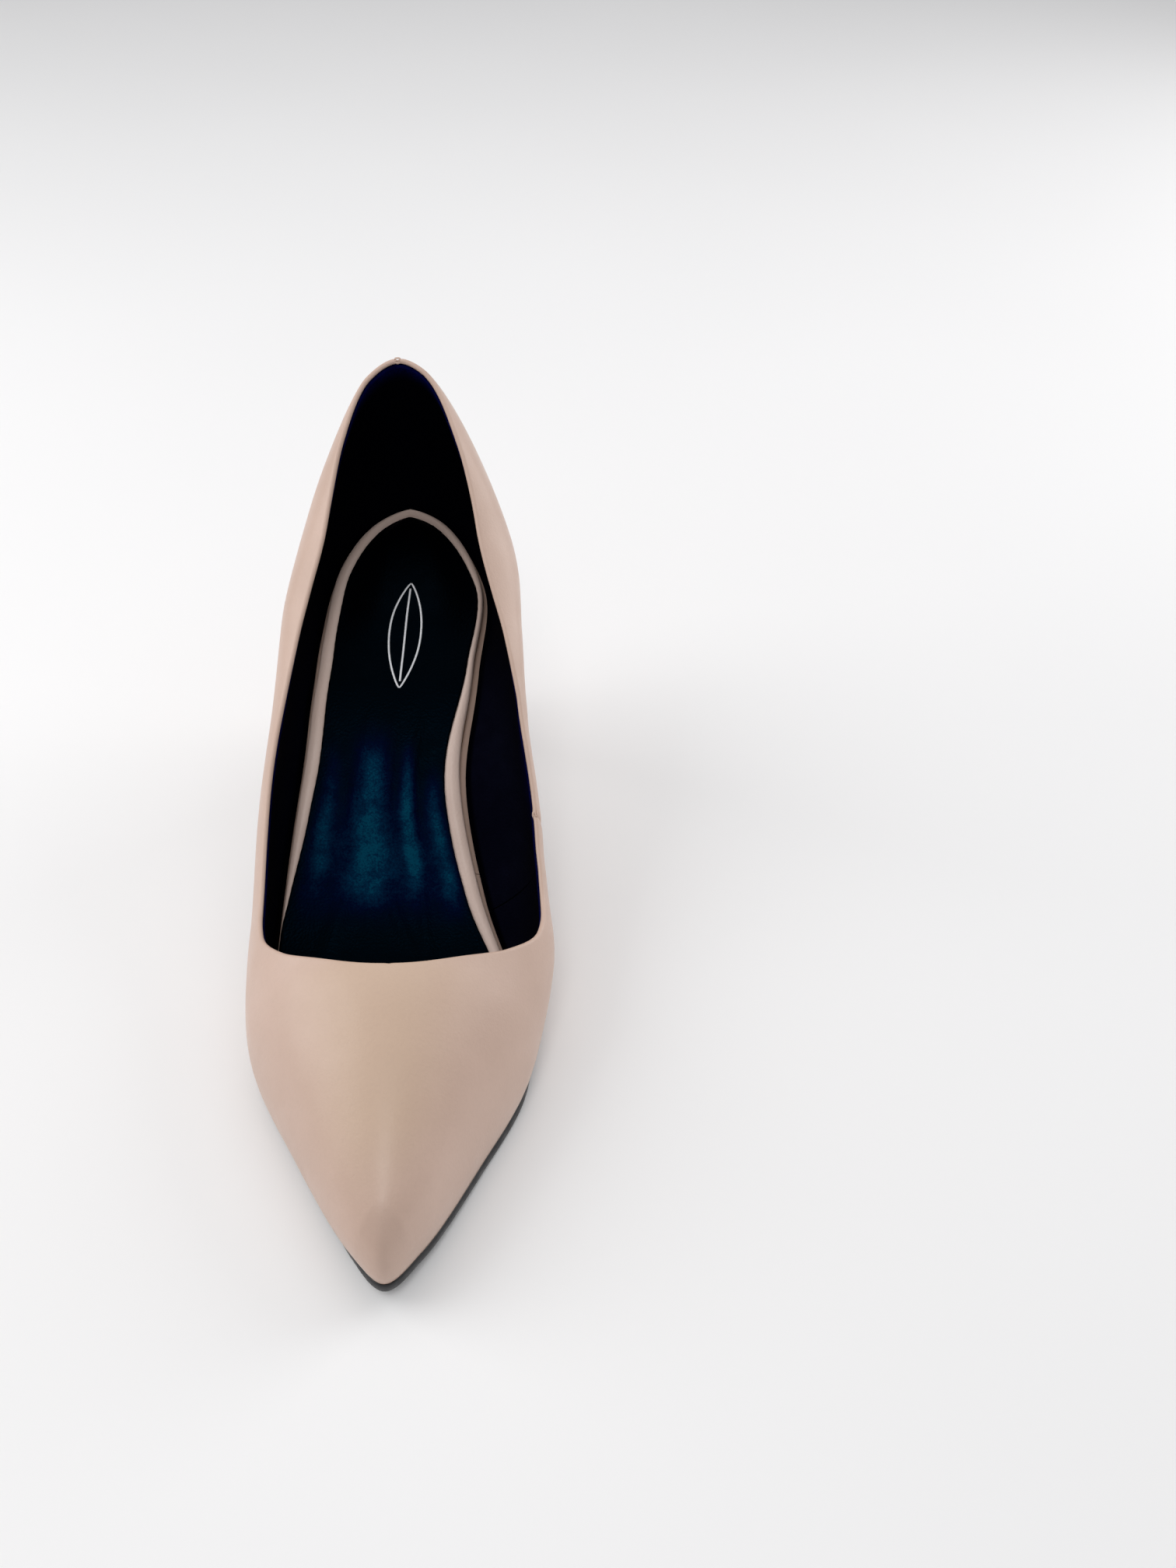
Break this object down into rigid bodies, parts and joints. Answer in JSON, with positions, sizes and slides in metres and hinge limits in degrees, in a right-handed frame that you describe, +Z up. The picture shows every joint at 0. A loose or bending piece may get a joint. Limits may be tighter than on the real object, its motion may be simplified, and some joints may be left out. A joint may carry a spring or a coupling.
{
  "type": "high heel pump",
  "caption": "Pointed-toe court shoe for the right foot, with a slim covered heel, low-cut folded topline, dark lined interior and padded sock.",
  "frame": {"origin": "on the ground, at the middle of the shoe's bounding box in plan", "axes": "+Z up, the toe points to -Y, +X is the inner (medial) side of the right foot"},
  "size_m": [0.0848, 0.237, 0.1315],
  "materials": {
    "upper": "smooth semi-matt nude coated leather",
    "insole_cover": "smooth nude coated leather",
    "lining": "smooth black coated lining with a blue sheen",
    "grip_lining": "black, slightly rougher heel grip",
    "sock": "fine-grained black",
    "stiffener": "impregnated non-woven",
    "tape": "woven tape",
    "board": "pressed fibre board",
    "foam": "open-cell latex foam",
    "filler": "granulated cork",
    "outsole": "fine satin black",
    "top_piece": "matt black",
    "heel_plastic": "moulded ABS",
    "steel": "plain steel",
    "foil": "pale stamped foil"
  },
  "bodies": {
    "root": {"vamp": "upper", "medial_quarter": "upper", "toe_puff": "stiffener", "heel_counter": "stiffener", "topline_tape": "tape", "side_seam_tape": "tape", "vamp_lining": "lining", "lateral_quarter_lining": "lining", "medial_quarter_lining": "lining", "heel_grip_lining": "grip_lining", "insole_board": "board", "shank_board": "board", "insole_cover": "insole_cover", "sock": "sock", "forefoot_pad": "foam", "heel_pad": "foam", "bottom_filler": "filler", "steel_shank": "steel", "shank_rivet_front": "steel", "shank_rivet_rear": "steel", "outsole": "outsole", "sock_mark": "foil", "heel_core": "heel_plastic", "heel_cover": "upper", "heel_dowel": "steel", "top_piece_pin": "steel", "top_piece": "top_piece", "heel_screw": "steel", "heel_nail_1": "steel", "heel_nail_2": "steel", "heel_nail_3": "steel", "heel_nail_4": "steel"}
  },
  "joints": []
}
